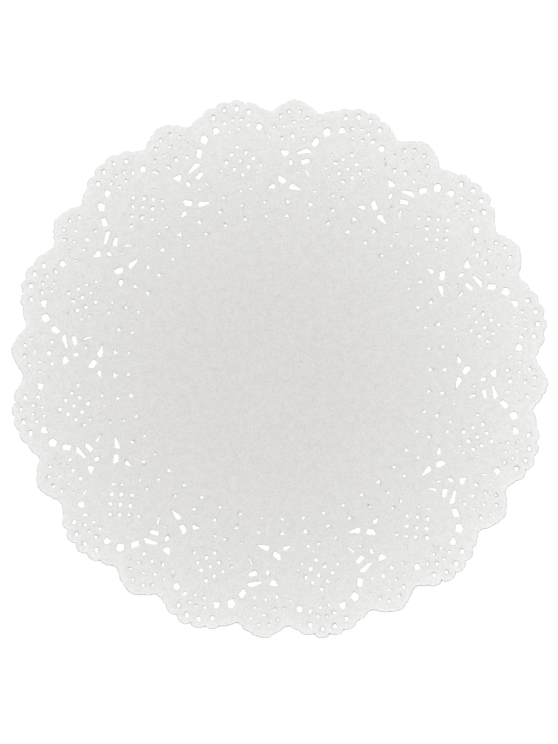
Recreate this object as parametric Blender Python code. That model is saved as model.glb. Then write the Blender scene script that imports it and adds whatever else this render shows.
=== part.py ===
# A round paper lace doily, lying flat: one die-cut sheet with a scalloped rim.
# Metres, +Z up. The underside is at z = 0, and the sheet's middle is on the Z axis.
# +Y is the doily's top as it is seen from above, and +X is to the right.
# The lace repeats around the middle. A place in one repeat is given as (across, out): across
# is clockwise from the repeat's middle line, and out is away from the doily's middle.

import math
from collections import namedtuple

import bmesh
import bpy
from mathutils import Vector
from mathutils.geometry import delaunay_2d_cdt

THICKNESS = 0.0010  # the sheet with its embossing and its slight lift
WIDTH = 0.2661  # across X
LENGTH = 0.2681  # across Y: the paper is a little longer than wide

REPEATS = 12
REPEAT_ANGLE = 2 * math.pi / REPEATS
FIRST_REPEAT = math.radians(11.2)  # anticlockwise from +X to the first repeat's middle line
ARC_STEP = 0.0022  # the longest straight side along a round stretch
FLAT_RISE = 0.0001  # a stretch of the rim that rises less is straight

PAPER_COLOUR = (0.71, 0.70, 0.69, 1.0)
PAPER_ROUGHNESS = 0.9

INSIDE_WITH_HOLES = 2  # the kind of triangulation that leaves holes open
MERGE_DISTANCE = 1e-9

# The rim of one repeat, clockwise. A stretch starts at an angle, in degrees from the repeat's
# middle line, and a radius. Its rise is how far its arc stands out from its chord.
RimArc = namedtuple("RimArc", "name angle radius rise")
RIM = (
    RimArc("left valley", -10.83, 0.12935, -0.00140),
    RimArc("left shoulder", -8.30, 0.12885, 0.00050),
    RimArc("first lobe", -5.71, 0.13060, 0.00160),
    RimArc("second lobe", -2.72, 0.13255, 0.00185),
    RimArc("third lobe", 0.43, 0.13335, 0.00215),
    RimArc("fourth lobe", 3.64, 0.13217, 0.00155),
    RimArc("right shoulder", 6.67, 0.12998, 0.00015),
    RimArc("right valley", 8.25, 0.12823, -0.00130),
    RimArc("straight stretch", 10.95, 0.12946, 0.00000),
    RimArc("side lobe", 11.87, 0.13033, 0.00025),
    RimArc("small scallop", 13.04, 0.13206, 0.00200),
    RimArc("last side lobe", 17.43, 0.13191, 0.00025),
)

# The largest holes of one repeat. Each is a tapered cut around its middle (across, out). It is
# as long as length, and leans clockwise from straight out by lean. Its ends are near and far
# wide, and their edges are turned clockwise from square by slant. A point makes the near end
# a peak. Angles are in degrees.
Cut = namedtuple("Cut", "name across out length near far lean slant point")
CUTS = (
    Cut("bell", -0.0079, 0.12145, 0.0028, 0.0037, 0.0018, -8, -6, 0),
    Cut("left arch lozenge", -0.0147, 0.11910, 0.0025, 0.0044, 0.0017, 3, -3, 0.0020),
    Cut("right arch lozenge", 0.0139, 0.11960, 0.0014, 0.0034, 0.0015, 3, -3, 0.0016),
    Cut("arch brick", -0.0184, 0.11160, 0.0038, 0.0024, 0.0026, 14, 12, 0),
    Cut("long wedge", -0.0231, 0.10505, 0.0061, 0.0006, 0.0031, 59, -37, 0),
    Cut("stem block", -0.02055, 0.10050, 0.0036, 0.0021, 0.0019, 66, -6, 0),
    Cut("fan sail", 0.0239, 0.10390, 0.0024, 0.0019, 0.0044, 0, 13, 0),
    Cut("fan drop", 0.0255, 0.09825, 0.0020, 0.0009, 0.0018, -5, -12, 0),
    Cut("large petal", 0.0193, 0.09120, 0.0041, 0.0027, 0.0018, -32, -7, 0),
    Cut("long petal", 0.0255, 0.08545, 0.0057, 0.0028, 0.0003, 118, 21, 0),
    Cut("short petal", 0.0133, 0.08835, 0.0036, 0.0003, 0.0018, 80, -20, 0),
)


def clear_scene():
    for thing in list(bpy.data.objects):
        bpy.data.objects.remove(thing, do_unlink=True)


def clockwise(degrees):
    """The (across, out) direction that is turned by an angle from straight out."""
    angle = math.radians(degrees)
    return Vector((math.sin(angle), math.cos(angle)))


def arc(start, end, rise):
    """Points from start up to, but not including, end, on an arc that bulges to the left."""
    chord = end - start
    if abs(rise) < FLAT_RISE:
        return [start]
    along = chord.normalized()
    side = Vector((-along.y, along.x)) * math.copysign(1, rise)
    radius = (chord.length**2 / 4 + rise**2) / (2 * abs(rise))
    sweep = 2 * math.asin(chord.length / 2 / radius)
    centre = start + chord / 2 + side * (abs(rise) - radius)
    count = max(2, math.ceil(radius * sweep / ARC_STEP))
    swings = [(step / count - 0.5) * sweep for step in range(count)]
    return [centre + radius * (side * math.cos(swing) + along * math.sin(swing)) for swing in swings]


def rim_outline():
    """The rim of one repeat, clockwise, without the point where the next repeat starts."""
    stops = [clockwise(row.angle) * row.radius for row in RIM]
    stops.append(clockwise(RIM[0].angle + math.degrees(REPEAT_ANGLE)) * RIM[0].radius)
    outline = []
    for row, start, end in zip(RIM, stops, stops[1:]):
        outline += arc(start, end, row.rise)
    return outline


def cut_outline(cut):
    ahead = clockwise(cut.lean)
    across = clockwise(cut.lean + 90 + cut.slant)
    near = Vector((cut.across, cut.out)) - ahead * cut.length / 2
    far = near + ahead * cut.length
    outline = [
        near - across * cut.near / 2,
        far - across * cut.far / 2,
        far + across * cut.far / 2,
        near + across * cut.near / 2,
    ]
    if cut.point:
        outline.append(near - ahead * cut.point)
    return outline


def turned(outline, repeat):
    """An outline of the first repeat, in metres right and up, carried to another repeat."""
    angle = FIRST_REPEAT + repeat * REPEAT_ANGLE
    right = Vector((math.sin(angle), -math.cos(angle)))
    out = Vector((math.cos(angle), math.sin(angle)))
    return [right * place.x + out * place.y for place in outline]


def lace_loops():
    """The rim, then every cut, drawn to the sheet's width and length."""
    rim = []
    for repeat in reversed(range(REPEATS)):
        rim += turned(rim_outline(), repeat)
    cuts = [turned(cut_outline(cut), repeat) for repeat in range(REPEATS) for cut in CUTS]
    wider = WIDTH / 2 / max(place.x for place in rim)
    longer = LENGTH / 2 / max(place.y for place in rim)
    return [[Vector((place.x * wider, place.y * longer)) for place in loop] for loop in [rim] + cuts]


def fill(loops):
    """Triangles that fill the first loop and leave the others open."""
    places, borders = [], []
    for loop in loops:
        borders.append(range(len(places), len(places) + len(loop)))
        places += loop
    filled = delaunay_2d_cdt(places, [], borders, INSIDE_WITH_HOLES, MERGE_DISTANCE)
    return filled[0], filled[2]


def paper():
    material = bpy.data.materials.new("paper")
    material.use_nodes = True
    shader = material.node_tree.nodes["Principled BSDF"]
    shader.inputs["Base Color"].default_value = PAPER_COLOUR
    shader.inputs["Roughness"].default_value = PAPER_ROUGHNESS
    shader.inputs["Metallic"].default_value = 0.0
    return material


def build_doily():
    places, faces = fill(lace_loops())
    sheet = bmesh.new()
    corners = [sheet.verts.new((place.x, place.y, 0.0)) for place in places]
    for face in faces:
        sheet.faces.new([corners[index] for index in face])
    raised = bmesh.ops.extrude_face_region(sheet, geom=sheet.faces[:])
    top = [item for item in raised["geom"] if isinstance(item, bmesh.types.BMVert)]
    bmesh.ops.translate(sheet, verts=top, vec=(0.0, 0.0, THICKNESS))
    bmesh.ops.recalc_face_normals(sheet, faces=sheet.faces[:])
    mesh = bpy.data.meshes.new("doily")
    sheet.to_mesh(mesh)
    sheet.free()
    mesh.materials.append(paper())
    bpy.context.scene.collection.objects.link(bpy.data.objects.new("doily", mesh))


clear_scene()
build_doily()
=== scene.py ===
import math
import random
from collections import namedtuple

import bpy
from mathutils import Matrix, Vector, noise
from mathutils.geometry import delaunay_2d_cdt
from mathutils.kdtree import KDTree


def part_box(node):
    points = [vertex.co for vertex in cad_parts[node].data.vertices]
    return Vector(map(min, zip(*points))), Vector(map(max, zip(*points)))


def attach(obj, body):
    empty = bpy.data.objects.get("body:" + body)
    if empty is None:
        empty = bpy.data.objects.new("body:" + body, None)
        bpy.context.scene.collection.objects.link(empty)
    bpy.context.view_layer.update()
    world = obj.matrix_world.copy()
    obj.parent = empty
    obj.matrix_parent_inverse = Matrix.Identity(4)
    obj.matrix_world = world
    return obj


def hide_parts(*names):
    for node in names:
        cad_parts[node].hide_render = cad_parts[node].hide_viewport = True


# A round paper lace doily lying on a studio floor, seen from above.
# The lace is charted in millimetres. One of its twelve repeats is drawn, and a place in it is
# (across, out): across is clockwise from the repeat's middle line, out is away from the middle.

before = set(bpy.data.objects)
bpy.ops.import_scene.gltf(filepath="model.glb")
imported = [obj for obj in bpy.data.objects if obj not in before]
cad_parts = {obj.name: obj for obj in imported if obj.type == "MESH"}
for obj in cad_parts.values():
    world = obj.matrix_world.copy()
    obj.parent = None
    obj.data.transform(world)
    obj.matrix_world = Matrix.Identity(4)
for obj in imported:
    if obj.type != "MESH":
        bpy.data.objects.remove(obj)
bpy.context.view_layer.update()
doilyLow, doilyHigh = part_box("doily")
scene = bpy.context.scene
mm = 0.001
print("frame loaded, the doily is", [round(side / mm, 1) for side in doilyHigh - doilyLow], "mm")


# The photograph and where its camera stood.
photo = {
    "width": 558,  # pixels
    "height": 744,
    "doilyMiddle": (278.53, 366.32),  # where it shows, counted from the first pixel's middle
    "mmPerPixel": 0.4963,  # at the doily's middle
    "distance": 1.0,  # metres from the camera to the doily
    "standsRight": 0.0138,  # how far the camera stands to the right, per metre of distance
    "standsBelow": 0.0418,  # and how far towards the doily's lower rim
    "sensor": 36.0,
    "clip": (0.01, 50),  # metres: the nearest and farthest that the camera sees
}


def makeCamera():
    forward = Vector((-photo["standsRight"], photo["standsBelow"], -1)).normalized()
    right = (Vector((1, 0, 0)) - forward * forward.x).normalized()
    up = right.cross(forward)
    metresPerPixel = photo["mmPerPixel"] * mm
    frameMiddle = ((photo["width"] - 1) / 2, (photo["height"] - 1) / 2)
    aside = (frameMiddle[0] - photo["doilyMiddle"][0]) * metresPerPixel
    below = (frameMiddle[1] - photo["doilyMiddle"][1]) * metresPerPixel
    aim = (doilyLow + doilyHigh) / 2 + right * aside - up * below
    camera = bpy.data.cameras.new("photoCamera")
    camera.sensor_width = photo["sensor"]
    camera.lens = photo["sensor"] * photo["distance"] / metresPerPixel / photo["height"]
    camera.clip_start, camera.clip_end = photo["clip"]
    holder = bpy.data.objects.new("photoCamera", camera)
    place = Matrix((right, up, -forward)).transposed().to_4x4()
    place.translation = aim - forward * photo["distance"]
    holder.matrix_world = place
    scene.collection.objects.link(holder)
    scene.camera = holder


makeCamera()
print("camera placed")


# The lace, in millimetres.
lace = {
    "repeats": 12,
    "firstRepeat": 11.2,  # degrees anticlockwise from +X to the first repeat's middle line
    "rimInset": 0.2,  # inside the CAD sheet's box
    "rimStep": 0.75,  # longest side along the rim
    "rimWander": 0.5,  # how far the torn rim strays, and how long its waves are
    "rimWave": 2.0,
    "holesTurn": 0.08,  # degrees that the holes sit off the rim, and how far aside
    "holesAside": (0.11, 0.10),
    "skew": -0.0014,  # the sheet is pulled a little out of square
    "cutStep": 0.8,  # longest side along a hole with corners
    "cornerRadius": 0.2,
    "cornerShare": 0.4,  # of a side: the most that a rounded corner takes of it
    "wander": 0.07,  # how far a punch's corners stray from repeat to repeat
    "punchWander": 0.17,  # how far the whole punch strays
    "sizeWander": 0.09,
    "dotSides": 12,
    "dotWaves": ((2, 0.08), (3, 0.12), (5, 0.05)),  # waves round a torn oval, and how deep at most
    "dotWaveLeast": 0.02,  # and how deep at least
    "ringTip": 0.58,  # from a ring punch's middle to its tip, and to its base, of its height
    "ringBase": 0.42,
    "ringWander": 0.14,
    "ringSizeWander": 0.18,
    "ringHollow": (0.05, 0.35),  # how far its sides bend in towards the middle
    "largestTorn": 4.4,  # square millimetres: a smaller hole can keep a shred of its chad
    "hanging": 0.4,  # the share of them that do
    "shredShare": (0.12, 0.28),  # how much of the hole the shred covers
    "habits": {  # of a punch: the chance that it comes out half open, and nearly closed
        "open": (0, 0), "loose": (0.3, 0.05), "stiff": (0.4, 0.25), "blunt": (0.3, 0.67)},
    "chadShare": {"half": (0.35, 0.58), "closed": (0.62, 0.76)},  # how much the chad covers
    "shortestSide": 0.12,  # along the outline that a chad leaves
    "seed": 27,
}

# The rim of one repeat, clockwise. A stretch starts at an angle from the middle line, in
# degrees, and a radius. Its rise is how far its arc stands out from its chord.
rimArc = namedtuple("rimArc", "name angle radius rise")
rimArcs = (
    rimArc("left valley", -10.83, 129.30, -1.30),
    rimArc("left shoulder", -8.30, 128.90, 0.50),
    rimArc("first lobe", -5.71, 130.75, 1.60),
    rimArc("second lobe", -2.72, 132.60, 1.85),
    rimArc("third lobe", 0.43, 133.40, 2.15),
    rimArc("fourth lobe", 3.64, 132.17, 1.55),
    rimArc("right shoulder", 6.67, 129.98, 0.15),
    rimArc("right valley", 8.25, 128.23, -1.20),
    rimArc("straight stretch", 10.95, 129.74, 0),
    rimArc("side lobe", 11.87, 130.63, 0.25),
    rimArc("small scallop", 13.04, 132.20, 0.95),
    rimArc("scallop fall", 15.60, 133.15, 0.30),
    rimArc("last side lobe", 17.43, 131.45, 0.25),
)

# The cuts with corners, clockwise.
cut = namedtuple("cut", "name corners")
cuts = (
    cut("bell", ((-9.75, 119.3), (-9.55, 121.75), (-8.6, 122.9), (-7.35, 123.0), (-6.35, 121.85),
                 (-5.95, 120.25))),
    cut("left lozenge", ((-16.9, 117.45), (-16.3, 119.55), (-14.95, 120.5), (-13.6, 120.25),
                         (-12.35, 117.8), (-14.65, 115.5))),
    cut("right lozenge", ((11.7, 118.5), (12.75, 120.45), (14.6, 120.45), (15.6, 118.9),
                          (13.95, 116.85))),
    cut("arch brick", ((-20.35, 110.4), (-19.2, 113.95), (-17.55, 113.85), (-16.6, 112.5),
                       (-18.05, 108.9))),
    cut("long wedge", ((-26.0, 103.7), (-21.6, 107.5), (-19.15, 106.8), (-19.35, 105.85),
                       (-24.95, 102.9))),
    cut("stem block", ((-23.05, 100.4), (-19.7, 102.6), (-18.35, 102.1), (-18.35, 101.0),
                       (-21.3, 98.65))),
    cut("fan sail", ((21.7, 105.75), (24.6, 105.05), (26.2, 104.25), (25.2, 102.8), (23.4, 101.95),
                     (22.5, 103.2))),
    cut("fan drop", ((24.45, 97.9), (25.05, 99.7), (26.25, 99.6), (26.65, 98.0), (25.35, 96.45))),
    cut("large petal", ((17.55, 91.05), (17.95, 93.3), (19.0, 93.5), (21.7, 90.5), (21.3, 89.45),
                        (19.45, 88.75))),
    cut("long petal", ((22.0, 85.75), (22.5, 87.25), (24.2, 87.95), (28.4, 83.95), (25.2, 84.55))),
    cut("short petal", ((11.5, 87.9), (14.1, 89.6), (15.1, 89.5), (15.85, 88.1), (14.85, 87.3))),
    cut("scallop tip", ((0.25, 125.45), (1.85, 125.55), (1.8, 124.5), (1.05, 123.95), (0.3, 124.5))),
    cut("left tick", ((-4.25, 124.0), (-3.65, 124.8), (-2.3, 124.7), (-2.1, 123.45), (-3.3, 123.0))),
    cut("right tick", ((4.35, 124.65), (5.5, 124.95), (6.5, 124.2), (5.25, 122.95), (4.55, 123.2))),
    cut("left seed", ((-2.1, 120.05), (-0.95, 120.45), (-0.3, 119.75), (-0.85, 118.75), (-2.0, 119.0))),
    cut("right seed", ((2.4, 119.95), (3.35, 120.7), (4.3, 120.25), (3.6, 119.0), (2.8, 119.0))),
    cut("arch thorn", ((7.1, 119.95), (8.25, 121.5), (9.3, 122.2), (9.65, 121.1), (9.2, 119.85))),
    cut("stem thorn", ((-18.9, 96.35), (-18.35, 97.1), (-17.6, 96.8), (-15.2, 93.1), (-16.7, 94.1),
                       (-18.3, 95.7))),
)

# Round punches: width is across and height out before the punch is turned, in degrees
# clockwise. Its habit says how well the die cuts there.
dot = namedtuple("dot", "name across out width height turn habit")
dots = (
    dot("first eyelet", -8.15, 127.95, 2.5, 2.5, 0, "open"),
    dot("second eyelet", -1.95, 130.4, 2.5, 2.5, 0, "open"),
    dot("third eyelet", 4.2, 130.3, 2.5, 2.5, 0, "open"),
    dot("fourth eyelet", 9.75, 127.4, 2.5, 2.5, 0, "open"),
    dot("side eyelet", 25.05, 121.95, 1.7, 2.0, 0, "open"),
    dot("side eyelet 2", 29.75, 123.65, 1.7, 2.05, 0, "open"),
    dot("side eyelet 3", 35.0, 122.35, 2.05, 1.6, -35, "open"),
    dot("side eyelet 4", 38.05, 118.3, 2.15, 1.55, -25, "open"),
    dot("inner slot", 31.2, 118.15, 2.4, 1.25, 28, "loose"),
    dot("inner bean", 25.7, 116.8, 1.75, 1.4, -40, "open"),
    dot("arch nick", 20.9, 117.7, 1.25, 1.75, -30, "loose"),
    dot("side drop", 23.55, 110.85, 1.6, 2.2, 0, "open"),
    dot("side drop 2", 29.05, 111.15, 1.95, 2.25, 0, "open"),
    dot("side drop 3", 34.2, 108.7, 1.55, 1.85, 20, "open"),
    dot("side pinhole", 35.05, 113.8, 1.4, 1.4, 0, "stiff"),
    dot("side pinhole 2", 39.4, 113.5, 1.3, 1.3, 0, "blunt"),
    dot("lattice top", 0.7, 111.35, 2.0, 2.0, 0, "open"),
    dot("lattice", -2.55, 107.95, 2.0, 2.0, 0, "open"),
    dot("lattice 2", 4.45, 107.55, 1.95, 1.95, 0, "open"),
    dot("lattice 3", -5.85, 104.6, 2.0, 2.0, 0, "open"),
    dot("lattice 4", 0.95, 104.25, 2.0, 2.0, 0, "open"),
    dot("lattice 5", 7.55, 104.15, 1.8, 2.05, 0, "open"),
    dot("lattice 6", -2.75, 100.8, 2.0, 2.0, 0, "open"),
    dot("lattice 7", 4.3, 100.55, 2.0, 2.0, 0, "open"),
    dot("lattice foot", 0.8, 97.0, 2.0, 2.0, 0, "open"),
    dot("left slat", -9.4, 101.05, 1.3, 1.75, 0, "open"),
    dot("right slat", 10.65, 100.25, 1.35, 1.7, 0, "open"),
    dot("left lattice pinhole", -8.8, 108.1, 1.4, 1.4, 0, "blunt"),
    dot("right lattice pinhole", 10.6, 107.3, 1.4, 1.3, 0, "blunt"),
    dot("left foot pinhole", -6.6, 97.6, 1.45, 1.45, 0, "stiff"),
    dot("right foot pinhole", 8.05, 97.45, 1.3, 1.3, 0, "stiff"),
    dot("stem pinhole", 0.9, 92.4, 1.3, 1.3, 0, "blunt"),
    dot("arch pinhole", 1.0, 116.3, 1.2, 1.2, 0, "blunt"),
    dot("left bead", -1.8, 89.25, 1.75, 1.3, -20, "open"),
    dot("right bead", 3.4, 89.25, 1.8, 1.2, 10, "open"),
    dot("lower bead", -10.65, 88.0, 2.0, 1.0, -14, "stiff"),
    dot("stem slit", -22.1, 94.3, 2.25, 0.9, 40, "loose"),
    dot("arch slit", 17.45, 113.35, 0.95, 3.75, -26, "loose"),
)

# Two rings of small three-cornered punches between the lace and the plain middle.
ring = namedtuple("ring", "name radius count first width height points")
rings = (
    ring("outer ring", 81.9, 45, -1.0, 2.7, 2.35, "inwards"),
    ring("inner ring", 75.4, 45, -1.0, 2.6, 2.25, "outwards"),
)


def sidesOf(corners):
    return zip(corners, corners[1:] + corners[:1])


def cornersOf(loop):
    # Every corner, between the one before it and the one after it.
    return zip(loop[-1:] + loop[:-1], loop, loop[1:] + loop[:1])


def signedArea(loop):
    return sum(here.cross(there) for here, there in sidesOf(loop)) / 2


def clockwise(degrees):
    angle = math.radians(degrees)
    return Vector((math.sin(angle), math.cos(angle)))


def arcPoints(start, end, rise, longest):
    # From start up to, but not including, end. A positive rise bulges to the left.
    chord = end - start
    if not rise:
        count = math.ceil(chord.length / longest)
        return [start + chord * step / count for step in range(count)]
    along = chord.normalized()
    side = Vector((-along.y, along.x)) * math.copysign(1, rise)
    radius = (chord.length**2 / 4 + rise**2) / (2 * abs(rise))
    sweep = 2 * math.asin(chord.length / 2 / radius)
    centre = start + chord / 2 + side * (abs(rise) - radius)
    count = max(2, math.ceil(radius * sweep / longest))
    swings = [(step / count - 0.5) * sweep for step in range(count)]
    return [centre + radius * (side * math.cos(swing) + along * math.sin(swing)) for swing in swings]


def rimOutline():
    stops = [clockwise(row.angle) * row.radius for row in rimArcs]
    stops.append(clockwise(rimArcs[0].angle + 360 / lace["repeats"]) * rimArcs[0].radius)
    outline = []
    for row, start, end in zip(rimArcs, stops, stops[1:]):
        outline += arcPoints(start, end, row.rise, lace["rimStep"])
    return outline


def wavy(rim):
    # The rim's edge wanders in and out a little, as torn paper does.
    moved = []
    for point in rim:
        wave = noise.noise((point / lace["rimWave"]).to_3d())
        moved.append(point + point.normalized() * (wave * lace["rimWander"] - lace["rimInset"]))
    return moved


def strayed(point, far, dice):
    return Vector(point) + Vector((dice.uniform(-far, far), dice.uniform(-far, far)))


def cornerEnd(corner, other):
    # Where a rounded corner ends, on the side that leads to the other corner.
    side = other - corner
    return corner + side.normalized() * min(lace["cornerRadius"], side.length * lace["cornerShare"])


def roundedOutline(corners):
    # Each corner becomes a short curve, and the sides between are cut into steps.
    outline = []
    for before, corner, after in cornersOf(corners):
        start, end = cornerEnd(corner, before), cornerEnd(corner, after)
        nextStart = cornerEnd(after, corner)
        outline += [start, start * 0.25 + corner * 0.5 + end * 0.25, end]
        steps = math.ceil((nextStart - end).length / lace["cutStep"])
        outline += [end.lerp(nextStart, step / steps) for step in range(1, steps)]
    return outline


def cutOutline(corners, dice):
    away = strayed((0, 0), lace["punchWander"], dice)
    moved = [strayed(corner, lace["wander"], dice) + away for corner in corners]
    return withShred(roundedOutline(moved), dice)


def dotOutline(row, size, dice):
    # A torn oval: its edge wanders in and out as it goes round.
    waves = [(times, dice.uniform(lace["dotWaveLeast"], depth), dice.uniform(0, 2 * math.pi))
             for times, depth in lace["dotWaves"]]
    ahead, right = clockwise(row.turn), clockwise(row.turn + 90)
    middle = strayed((row.across, row.out), lace["punchWander"], dice)
    outline = []
    for side in range(lace["dotSides"]):
        angle = 2 * math.pi * side / lace["dotSides"]
        wave = sum(depth * math.cos(times * angle + start) for times, depth, start in waves)
        reach = size * (1 + wave)
        outline.append(middle + right * (row.width / 2 * reach * math.cos(angle))
                       + ahead * (row.height / 2 * reach * math.sin(angle)))
    return outline


def withoutShortSides(outline):
    kept = []
    for point in outline:
        if not kept or (point - kept[-1]).length > lace["shortestSide"]:
            kept.append(point)
    if (kept[0] - kept[-1]).length < lace["shortestSide"]:
        kept.pop()
    return kept


def withChad(outline, share, towards):
    # The chad still covers this share of the punch, on the side that towards points to.
    heights = [point.dot(towards) for point in outline]
    level = max(heights) - share * (max(heights) - min(heights))
    kept = []
    for here, there in sidesOf(outline):
        inHere, inThere = here.dot(towards) <= level, there.dot(towards) <= level
        if inHere:
            kept.append(here)
        if inHere != inThere:
            part = (level - here.dot(towards)) / (there.dot(towards) - here.dot(towards))
            kept.append(here.lerp(there, part))
    return withoutShortSides(kept)


def withShred(outline, dice):
    if abs(signedArea(outline)) > lace["largestTorn"] or dice.random() > lace["hanging"]:
        return outline
    return withChad(outline, dice.uniform(*lace["shredShare"]), clockwise(dice.uniform(0, 360)))


def ringOutline(row, dice):
    # Three corners with hollow sides. The middle line points straight out.
    size = 1 + dice.uniform(-1, 1) * lace["ringSizeWander"]
    way = 1 if row.points == "outwards" else -1
    tip, base = way * lace["ringTip"], -way * lace["ringBase"]
    corners = [(0, tip), (0.5, base), (-0.5, base)]
    middle = Vector((0, row.radius))
    placed = [strayed(middle + Vector((x * row.width, y * row.height)) * size, lace["ringWander"], dice)
              for x, y in corners]
    centre = (placed[0] + placed[1] + placed[2]) / 3
    hollow = []
    for here, there in sidesOf(placed):
        hollow += [here, ((here + there) / 2).lerp(centre, dice.uniform(*lace["ringHollow"]))]
    return roundedOutline(hollow)


def turned(outline, degrees):
    # Carries an outline whose middle line points up to one that points at an angle from +X.
    angle = math.radians(degrees)
    right = Vector((math.sin(angle), -math.cos(angle)))
    out = Vector((math.cos(angle), math.sin(angle)))
    return [right * point.x + out * point.y for point in outline]


def dotOutcome(row, dice):
    half, closed = lace["habits"][row.habit]
    draw = dice.random()
    size = 1 + dice.uniform(-1, 1) * lace["sizeWander"]
    outline = dotOutline(row, size, dice)
    if draw < half + closed:
        share = dice.uniform(*lace["chadShare"]["closed" if draw < closed else "half"])
        return withChad(outline, share, clockwise(dice.uniform(0, 360)))
    return withShred(outline, dice)


def laceOutlines():
    # The rim first, then every hole, in millimetres and fitted to the CAD sheet's box.
    dice = random.Random(lace["seed"])
    rim, holes = [], []
    step = 360 / lace["repeats"]
    for repeat in reversed(range(lace["repeats"])):
        rim += turned(rimOutline(), lace["firstRepeat"] + repeat * step)
    for repeat in range(lace["repeats"]):
        angle = lace["firstRepeat"] + lace["holesTurn"] + repeat * step
        holes += [turned(cutOutline(row.corners, dice), angle) for row in cuts]
        holes += [turned(dotOutcome(row, dice), angle) for row in dots]
    for row in rings:
        holes += [turned(ringOutline(row, dice), row.first + place * 360 / row.count)
                  for place in range(row.count)]
    aside = Vector(lace["holesAside"])
    holes = [[point + aside for point in loop] for loop in holes]
    wider = (doilyHigh.x - doilyLow.x) / mm / 2 / max(point.x for point in rim)
    longer = (doilyHigh.y - doilyLow.y) / mm / 2 / max(point.y for point in rim)

    def fitted(point):
        across, along = point.x + point.y * lace["skew"], point.y + point.x * lace["skew"]
        return Vector((across * wider, along * longer))

    return [[fitted(point) for point in loop] for loop in [wavy(rim)] + holes]


# The paper sheet, in millimetres.
paper = {
    "thick": 0.12,
    "restHeight": 0.075,  # of the underside above the floor, between the cuts
    "edgeDrop": 0.01,  # how far a cut presses the paper down at its edge
    "dropWander": 0.5,  # how much that differs from cut to cut
    "edgeReach": 0.4,  # how far from the edge the pressing shows
    "punchPaintedShade": 0.42,  # painted shade: how much darker the paper can be painted beside a punch
    "paintedShadeReach": 0.5,  # how far from the edge the painted shade shows
    "paintedShadeLeast": 1.5,  # it is fainter at punches smaller than this, in square millimetres,
    "paintedShadeMost": 4.0,  # and at those larger than this
    "swell": 0.075,  # slow rise and fall of the whole sheet
    "swellSize": 42,
    "cockle": 0.010,  # small puckers between the punches
    "cockleSize": 5,
    "cockleRise": 8,  # how soon they set in where the lace begins
    "laceStarts": 70,  # radius where the lace begins
    "rimCurl": 0.23,  # how far the rim stands up
    "curlReach": 6.0,
    "paintedGlowReach": 2.5,  # how far inwards the painted glow at the rim fades out
    "area": 0.0521,  # square metres of paper left after punching
    "edgeSample": 0.15,  # between the samples that find the nearest edge
    "edgeRows": (0.15, 0.38),  # rows of points that round the edge
    "rowShare": 0.85,  # of a row's distance: what its points keep from every edge
    "hairpin": 0.2,  # at a corner whose two directions add up to less, a row has no point
    "gridClear": 0.35,  # what the grid keeps from the last row
    "topGrid": (1.25, 2.6),  # spacing of the points in the lace, and in the plain middle
    "undersideGrid": (3.0, 5.5),
    "sharpAngle": 50,  # degrees: the cut edges are shaded sharp, the paper smooth
}


def edgeTree(outlines):
    # Finds the cut edge nearest to a place, by samples along every outline.
    samples, owners = [], []
    for number, loop in enumerate(outlines):
        for here, there in sidesOf(loop):
            steps = max(1, math.ceil((there - here).length / paper["edgeSample"]))
            samples += [here.lerp(there, step / steps) for step in range(steps)]
            owners += [number] * steps
    tree = KDTree(len(samples))
    for index, sample in enumerate(samples):
        tree.insert(sample.to_3d(), index)
    tree.balance()
    return tree, owners


def paperOnLeft(loop, isRim):
    return (signedArea(loop) > 0) == isRim


def intoPaper(loop, isRim, distance):
    # The loop moved into the paper: inwards from the rim, outwards from a hole.
    side = 1 if paperOnLeft(loop, isRim) else -1
    moved = []
    for before, here, after in cornersOf(loop):
        along = (here - before).normalized() + (after - here).normalized()
        if along.length > paper["hairpin"]:
            along.normalize()
            moved.append(here + Vector((-along.y, along.x)) * side * distance)
    return moved


def edgeRows(outlines, tree):
    # Rows of points along every edge. Points of neighbouring edges keep apart.
    rows, cells = [], set()
    for distance in paper["edgeRows"]:
        for number, loop in enumerate(outlines):
            for point in intoPaper(loop, number == 0, distance):
                cell = (round(point.x / distance), round(point.y / distance))
                if cell not in cells and tree.find(point.to_3d())[2] > distance * paper["rowShare"]:
                    cells.add(cell)
                    rows.append(point)
    return rows


def gridPoints(tree, grids, clear):
    # A grid of triangles over the whole disc, kept clear of every edge.
    points = []
    reach = doilyHigh.length / mm
    bands = (grids[0], paper["laceStarts"], reach), (grids[1], 0, paper["laceStarts"])
    for grid, inner, outer in bands:
        high = grid * math.sqrt(3) / 2
        lines = math.ceil(outer / high)
        for line in range(-lines, lines + 1):
            for column in range(-lines, lines + 1):
                point = Vector(((column + line % 2 / 2) * grid, line * high))
                if inner <= point.length < outer and tree.find(point.to_3d())[2] > clear:
                    points.append(point)
    return points


def filled(outlines, points):
    # The places and triangles of the paper. They spread from the middle and stop at every edge.
    places, edges = [], []
    for loop in outlines:
        edges += sidesOf(list(range(len(places), len(places) + len(loop))))
        places += loop
    everything, coincide = 0, 1e-7  # keeps all triangles, and joins only points in one place
    made, _, faces, _, _, _ = delaunay_2d_cdt(places + points, edges, [], everything, coincide, False)
    walls = {frozenset(edge) for edge in edges}
    beside = {}
    for number, face in enumerate(faces):
        for side in map(frozenset, sidesOf(face)):
            beside.setdefault(side, []).append(number)
    middle = min(range(len(made)), key=lambda index: made[index].length)
    reached = {next(number for number, face in enumerate(faces) if middle in face)}
    waiting = list(reached)
    while waiting:
        for side in map(frozenset, sidesOf(faces[waiting.pop()])):
            for number in beside[side]:
                if side not in walls and number not in reached:
                    reached.add(number)
                    waiting.append(number)
    kept = [faces[number] for number in sorted(reached)]
    used = sorted({index for face in kept for index in face})
    renumbered = {index: number for number, index in enumerate(used)}
    return [made[index] for index in used], [[renumbered[index] for index in face] for face in kept]


edgeLook = namedtuple("edgeLook", "middle drop dark burrSide")


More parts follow.
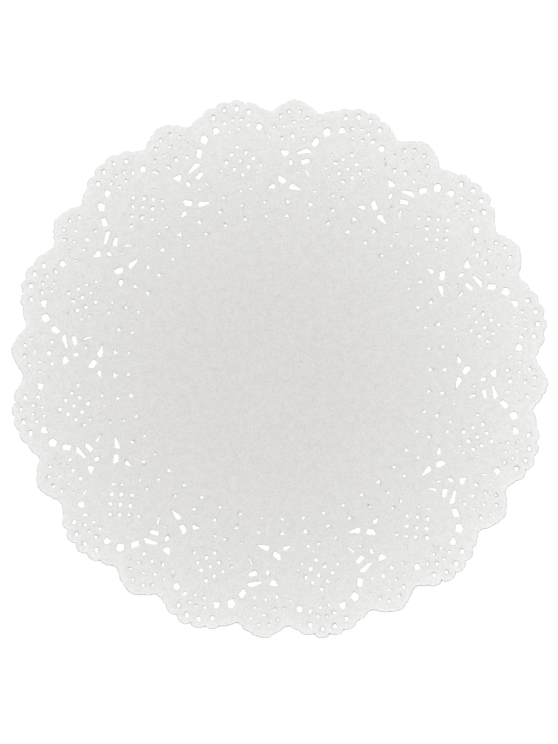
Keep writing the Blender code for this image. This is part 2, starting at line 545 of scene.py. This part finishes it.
def edgeLooks(outlines):
    # How each cut pressed the paper down around it, and the painted shade beside it, mostly on one side.
    dice = random.Random(lace["seed"] + 1)
    looks = [edgeLook(Vector((0, 0)), 0, 0, Vector((0, 1)))]  # the rim has neither
    for loop in outlines[1:]:
        middle = sum(loop, Vector((0, 0))) / len(loop)
        drop = paper["edgeDrop"] * (1 + dice.uniform(-1, 1) * paper["dropWander"])
        area = abs(signedArea(loop))
        share = min(1, area / paper["paintedShadeLeast"], paper["paintedShadeMost"] / area)
        dark = dice.uniform(0, paper["punchPaintedShade"]) * share
        looks.append(edgeLook(middle, drop, dark, clockwise(dice.uniform(0, 360))))
    return looks


def placeAndShade(point, inside, tree, owners, looks):
    # How high the underside lies above the floor, in millimetres, and how much painted shade darkens the
    # paper beside a punch.
    swell = noise.noise((point / paper["swellSize"]).to_3d())
    cockle = noise.noise((point / paper["cockleSize"]).to_3d())
    cockle *= min(1, max(0, point.length / paper["laceStarts"] - 1) * paper["cockleRise"])
    _, index, distance = tree.find(point.to_3d())
    look = looks[owners[index]]
    pressed = max(0, 1 - distance / paper["edgeReach"])
    # painted shade beside a punch, on the side that its look faces
    paintedShadeNear = max(0, 1 - distance / paper["paintedShadeReach"])
    facing = max(0, (point - look.middle).normalized().dot(look.burrSide))
    waves = swell * paper["swell"] + cockle * paper["cockle"]
    curl = math.exp(-inside / paper["curlReach"]) * paper["rimCurl"]
    height = paper["restHeight"] + waves + curl - pressed**2 * look.drop
    return height, paintedShadeNear * facing * look.dark


def wallsOf(outlines, under):
    # The cut edges, between the points of the top and the same points of the underside.
    walls, start = [], 0
    for number, loop in enumerate(outlines):
        onLeft = paperOnLeft(loop, number == 0)
        for here, there in sidesOf(list(range(start, start + len(loop)))):
            if not onLeft:
                here, there = there, here
            walls.append((there, here, here + under, there + under))
        start += len(loop)
    return walls


def makeSheet(material, edgeMaterial):
    outlines = laceOutlines()
    tree, owners = edgeTree(outlines)
    rimTree, _ = edgeTree(outlines[:1])
    looks = edgeLooks(outlines)
    rows = edgeRows(outlines, tree)
    clear = paper["edgeRows"][-1] + paper["gridClear"]
    topPlaces, topFaces = filled(outlines, rows + gridPoints(tree, paper["topGrid"], clear))
    lowPlaces, lowFaces = filled(outlines, gridPoints(tree, paper["undersideGrid"], clear))
    print("sheet outlined:", len(outlines) - 1, "holes,", len(topFaces) + len(lowFaces), "faces")

    under = len(topPlaces)
    corners, paintedLight = [], []
    for number, point in enumerate(topPlaces + lowPlaces):
        inside = rimTree.find(point.to_3d())[2]
        height, dark = placeAndShade(point, inside, tree, owners, looks)
        height += paper["thick"] if number < under else 0
        corners.append((point.x * mm, point.y * mm, height * mm))
        # painted light: lighter near the rim, and painted shade darker beside the punches
        paintedLight.append(1 + math.exp(-inside / paper["paintedGlowReach"]) * finish["rimPaintedGlow"] - dark)
    faces = topFaces + [[index + under for index in reversed(face)] for face in lowFaces]

    mesh = bpy.data.meshes.new("laceSheet")
    mesh.from_pydata(corners, [], faces + wallsOf(outlines, under))
    mesh.materials.append(material)
    mesh.materials.append(edgeMaterial)
    mesh.attributes.new("paintedEdgeLight", "FLOAT", "POINT").data.foreach_set("value", paintedLight)
    for face in mesh.polygons:
        face.use_smooth = True
        face.material_index = 1 if face.index >= len(faces) else 0
    mesh.set_sharp_from_angle(angle=math.radians(paper["sharpAngle"]))
    sheet = bpy.data.objects.new("laceSheet", mesh)
    scene.collection.objects.link(sheet)
    return sheet


# The finishes, in metres where they have a size.
finish = {
    "middleColour": (0.6535, 0.6465, 0.635, 1),
    "rimColour": (0.760, 0.757, 0.751, 1),
    "edgeColour": (0.72, 0.715, 0.70, 1),
    "toneMiddle": (-0.009, -0.007, 0),  # painted light: the tone is set off-centre, so the paper is painted lighter towards the upper right
    "toneFrom": 0.025,  # radius where the paper starts to lighten
    "toneTo": 0.13,
    "toneCurve": 1.65,  # over 1, most of it comes near the rim
    "rimPaintedGlow": 0.055,  # painted light: how much lighter the paper is painted at its very rim
    "grain": 0.33,
    "fibreSize": 0.00098,
    "cloudSize": 0.004,
    "roughness": 0.9,
    "specular": 0.25,
    "bump": 0.35,
    "bumpHeight": 0.00003,
}

# How the paper's fibres, clouds and specks are mixed.
fibreMix = {
    "detail": 2.0,
    "fibreRough": 0.6,
    "cloudRough": 0.5,
    "cloudShare": 0.35,  # how strong the clouds are beside the fibres
    "speckCells": 190.0,  # cells a metre, with a speck in some
    "speckShare": 0.2,  # how many of the cells have one
    "speckSize": (0.03, 0.07),  # of a cell: to where it is full, and to its edge
    "speckDark": 0.6,
}


def newNode(tree, kind, values=None, settings=None):
    node = tree.nodes.new(kind)
    for name, value in (settings or {}).items():
        setattr(node, name, value)
    for name, value in (values or {}).items():
        node.inputs[name].default_value = value
    return node


def newGroup(name, takes, gives):
    group = bpy.data.node_groups.new(name, "ShaderNodeTree")
    for socketName, kind, value in takes:
        socket = group.interface.new_socket(name=socketName, in_out="INPUT", socket_type=kind)
        if value is not None:
            socket.default_value = value
    for socketName, kind in gives:
        group.interface.new_socket(name=socketName, in_out="OUTPUT", socket_type=kind)
    return group, group.nodes.new("NodeGroupInput"), group.nodes.new("NodeGroupOutput")


def makeFibreGroup():
    # Paper seen close: short matted fibres, cloudy patches and a rare dark speck.
    group, takes, gives = newGroup(
        "paperFibre",
        (("Place", "NodeSocketVector", None),
         ("Fibre Size", "NodeSocketFloat", 0.0007),
         ("Cloud Size", "NodeSocketFloat", 0.0045),
         ("Amount", "NodeSocketFloat", 0.08)),
        (("Shade", "NodeSocketFloat"), ("Height", "NodeSocketFloat")),
    )
    link = group.links.new

    def noiseOf(sizeSocket, rough):
        scale = newNode(group, "ShaderNodeMath", {0: 1.0}, {"operation": "DIVIDE"})
        link(takes.outputs[sizeSocket], scale.inputs[1])
        texture = newNode(group, "ShaderNodeTexNoise", {"Detail": fibreMix["detail"], "Roughness": rough})
        link(takes.outputs["Place"], texture.inputs["Vector"])
        link(scale.outputs[0], texture.inputs["Scale"])
        return texture.outputs["Fac"]

    fibre = noiseOf("Fibre Size", fibreMix["fibreRough"])
    cloud = noiseOf("Cloud Size", fibreMix["cloudRough"])
    cells = newNode(group, "ShaderNodeTexVoronoi", {"Scale": fibreMix["speckCells"]},
                    {"voronoi_dimensions": "2D"})
    link(takes.outputs["Place"], cells.inputs["Vector"])
    full, edge = fibreMix["speckSize"]
    near = newNode(group, "ShaderNodeMapRange",
                   {"From Min": full, "From Max": edge, "To Min": 1.0, "To Max": 0.0})
    link(cells.outputs["Distance"], near.inputs["Value"])
    split = newNode(group, "ShaderNodeSeparateColor")
    link(cells.outputs["Color"], split.inputs["Color"])
    chosen = newNode(group, "ShaderNodeMath", {1: fibreMix["speckShare"]}, {"operation": "LESS_THAN"})
    link(split.outputs["Red"], chosen.inputs[0])
    speck = newNode(group, "ShaderNodeMath", None, {"operation": "MULTIPLY"})
    link(near.outputs["Result"], speck.inputs[0])
    link(chosen.outputs[0], speck.inputs[1])

    mixed = newNode(group, "ShaderNodeMath", {1: fibreMix["cloudShare"]}, {"operation": "MULTIPLY_ADD"})
    link(cloud, mixed.inputs[0])
    link(fibre, mixed.inputs[2])
    mean = (1 + fibreMix["cloudShare"]) / 2  # because each noise lies around a half
    centred = newNode(group, "ShaderNodeMath", {1: mean}, {"operation": "SUBTRACT"})
    link(mixed.outputs[0], centred.inputs[0])
    darker = newNode(group, "ShaderNodeMath", {1: -fibreMix["speckDark"]}, {"operation": "MULTIPLY_ADD"})
    link(speck.outputs[0], darker.inputs[0])
    link(centred.outputs[0], darker.inputs[2])
    shade = newNode(group, "ShaderNodeMath", {2: 1.0}, {"operation": "MULTIPLY_ADD"})
    link(darker.outputs[0], shade.inputs[0])
    link(takes.outputs["Amount"], shade.inputs[1])
    link(shade.outputs[0], gives.inputs["Shade"])
    link(mixed.outputs[0], gives.inputs["Height"])
    return group


def makeToneGroup():
    # The paper is a shade warmer and darker in the middle than at the rim. A middle set off-centre paints
    # light: one side of the sheet lighter than the other.
    group, takes, gives = newGroup(
        "paperTone",
        (("Place", "NodeSocketVector", None),
         ("Middle", "NodeSocketVector", (0, 0, 0)),
         ("From", "NodeSocketFloat", 0.03),
         ("To", "NodeSocketFloat", 0.135)),
        (("Tone", "NodeSocketFloat"),),
    )
    link = group.links.new
    apart = newNode(group, "ShaderNodeVectorMath", None, {"operation": "DISTANCE"})
    link(takes.outputs["Place"], apart.inputs[0])
    link(takes.outputs["Middle"], apart.inputs[1])
    share = newNode(group, "ShaderNodeMapRange")
    link(apart.outputs["Value"], share.inputs["Value"])
    link(takes.outputs["From"], share.inputs["From Min"])
    link(takes.outputs["To"], share.inputs["From Max"])
    curve = newNode(group, "ShaderNodeMath", {1: finish["toneCurve"]}, {"operation": "POWER"})
    link(share.outputs["Result"], curve.inputs[0])
    link(curve.outputs[0], gives.inputs["Tone"])
    return group


def newMaterial(name, roughness, specular):
    material = bpy.data.materials.new(name)
    material.use_nodes = True
    shader = material.node_tree.nodes["Principled BSDF"]
    shader.inputs["Roughness"].default_value = roughness
    shader.inputs["Specular IOR Level"].default_value = specular
    return material, material.node_tree, shader


def placeGroup(tree, group, values):
    return newNode(tree, "ShaderNodeGroup", values, {"node_tree": group})


def makePaper(name, fibreGroup, toneGroup, middleColour):
    material, tree, shader = newMaterial(name, finish["roughness"], finish["specular"])
    link = tree.links.new
    place = tree.nodes.new("ShaderNodeTexCoord").outputs["Object"]
    tone = placeGroup(tree, toneGroup, {
        "Middle": finish["toneMiddle"], "From": finish["toneFrom"], "To": finish["toneTo"]})
    link(place, tone.inputs["Place"])
    colours = {6: middleColour, 7: finish["rimColour"]}  # the numbers of the mix's colour sockets
    colour = newNode(tree, "ShaderNodeMix", colours, {"data_type": "RGBA"})
    link(tone.outputs["Tone"], colour.inputs["Factor"])
    fibre = placeGroup(tree, fibreGroup, {
        "Fibre Size": finish["fibreSize"], "Cloud Size": finish["cloudSize"], "Amount": finish["grain"]})
    link(place, fibre.inputs["Place"])
    # painted light and shade per point: lighter near the rim, darker beside the punches
    paintedEdgeLight = newNode(tree, "ShaderNodeAttribute", None, {"attribute_name": "paintedEdgeLight"})
    shade = newNode(tree, "ShaderNodeMath", None, {"operation": "MULTIPLY"})
    link(paintedEdgeLight.outputs["Fac"], shade.inputs[0])
    link(fibre.outputs["Shade"], shade.inputs[1])
    shaded = newNode(tree, "ShaderNodeVectorMath", None, {"operation": "SCALE"})
    link(colour.outputs[2], shaded.inputs["Vector"])
    link(shade.outputs[0], shaded.inputs["Scale"])
    link(shaded.outputs["Vector"], shader.inputs["Base Color"])
    bump = newNode(tree, "ShaderNodeBump", {"Strength": finish["bump"], "Distance": finish["bumpHeight"]})
    link(fibre.outputs["Height"], bump.inputs["Height"])
    link(bump.outputs["Normal"], shader.inputs["Normal"])
    return material


fibreGroup = makeFibreGroup()
toneGroup = makeToneGroup()
lacePaper = makePaper("lacePaper", fibreGroup, toneGroup, finish["middleColour"])
cutEdge = makePaper("cutEdge", fibreGroup, toneGroup, finish["edgeColour"])
print("finishes made")

laceSheet = makeSheet(lacePaper, cutEdge)
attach(laceSheet, "root")
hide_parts("doily")
print("lace sheet made:", len(laceSheet.data.vertices), "points")


# The floor and the light.
studio = {
    "floorSide": 6.0,  # metres
    "floorColour": (0.97, 0.97, 0.97, 1),
    "fill": 0.15,  # light from all round, as the radiance of the white room
    "roomSeen": 1.05,  # how white the camera sees the room
    "lightWidth": 19,  # degrees across, as a large softbox looks from the sheet
    "lightRise": 38,  # degrees above the floor
    "lightAway": 2,  # metres to the lamps, which changes nothing in the light
    "lights": ((34, 2.44), (160, 2.32)),  # degrees anticlockwise from +X, and strength
}


def makeFloor():
    half = studio["floorSide"] / 2
    mesh = bpy.data.meshes.new("studioFloor")
    corners = [(-half, -half, 0), (half, -half, 0), (half, half, 0), (-half, half, 0)]
    mesh.from_pydata(corners, [], [(0, 1, 2, 3)])
    material, _, shader = newMaterial("studioFloor", roughness=1.0, specular=0.0)
    shader.inputs["Base Color"].default_value = studio["floorColour"]
    mesh.materials.append(material)
    floor = bpy.data.objects.new("studioFloor", mesh)
    scene.collection.objects.link(floor)
    return floor


def makeRoom():
    # The white room lights the sheet, and the camera sees it as white as the floor.
    world = bpy.data.worlds.new("whiteRoom")
    world.use_nodes = True
    tree = world.node_tree
    tree.nodes.clear()
    lit = newNode(tree, "ShaderNodeBackground", {"Color": (1, 1, 1, 1), "Strength": studio["fill"]})
    seen = newNode(tree, "ShaderNodeBackground", {"Color": (1, 1, 1, 1), "Strength": studio["roomSeen"]})
    path = tree.nodes.new("ShaderNodeLightPath")
    mix = tree.nodes.new("ShaderNodeMixShader")
    output = tree.nodes.new("ShaderNodeOutputWorld")
    tree.links.new(path.outputs["Is Camera Ray"], mix.inputs["Fac"])
    tree.links.new(lit.outputs[0], mix.inputs[1])
    tree.links.new(seen.outputs[0], mix.inputs[2])
    tree.links.new(mix.outputs[0], output.inputs["Surface"])
    scene.world = world


def makeSoftLight(name, bearing, strength):
    # Its rays are parallel, so the floor is lit evenly out to its edges.
    light = bpy.data.lights.new(name, "SUN")
    light.energy = strength
    light.angle = math.radians(studio["lightWidth"])
    rise, angle = math.radians(studio["lightRise"]), math.radians(bearing)
    towards = Vector((math.cos(angle) * math.cos(rise), math.sin(angle) * math.cos(rise), math.sin(rise)))
    holder = bpy.data.objects.new(name, light)
    holder.location = towards * studio["lightAway"]
    holder.rotation_euler = (-towards).to_track_quat("-Z", "Y").to_euler()
    scene.collection.objects.link(holder)


floor = makeFloor()
makeRoom()
for number, (bearing, strength) in enumerate(studio["lights"]):
    makeSoftLight("softLight" + str(number + 1), bearing, strength)
scene.view_settings.view_transform = "Standard"
print("floor and lights made")
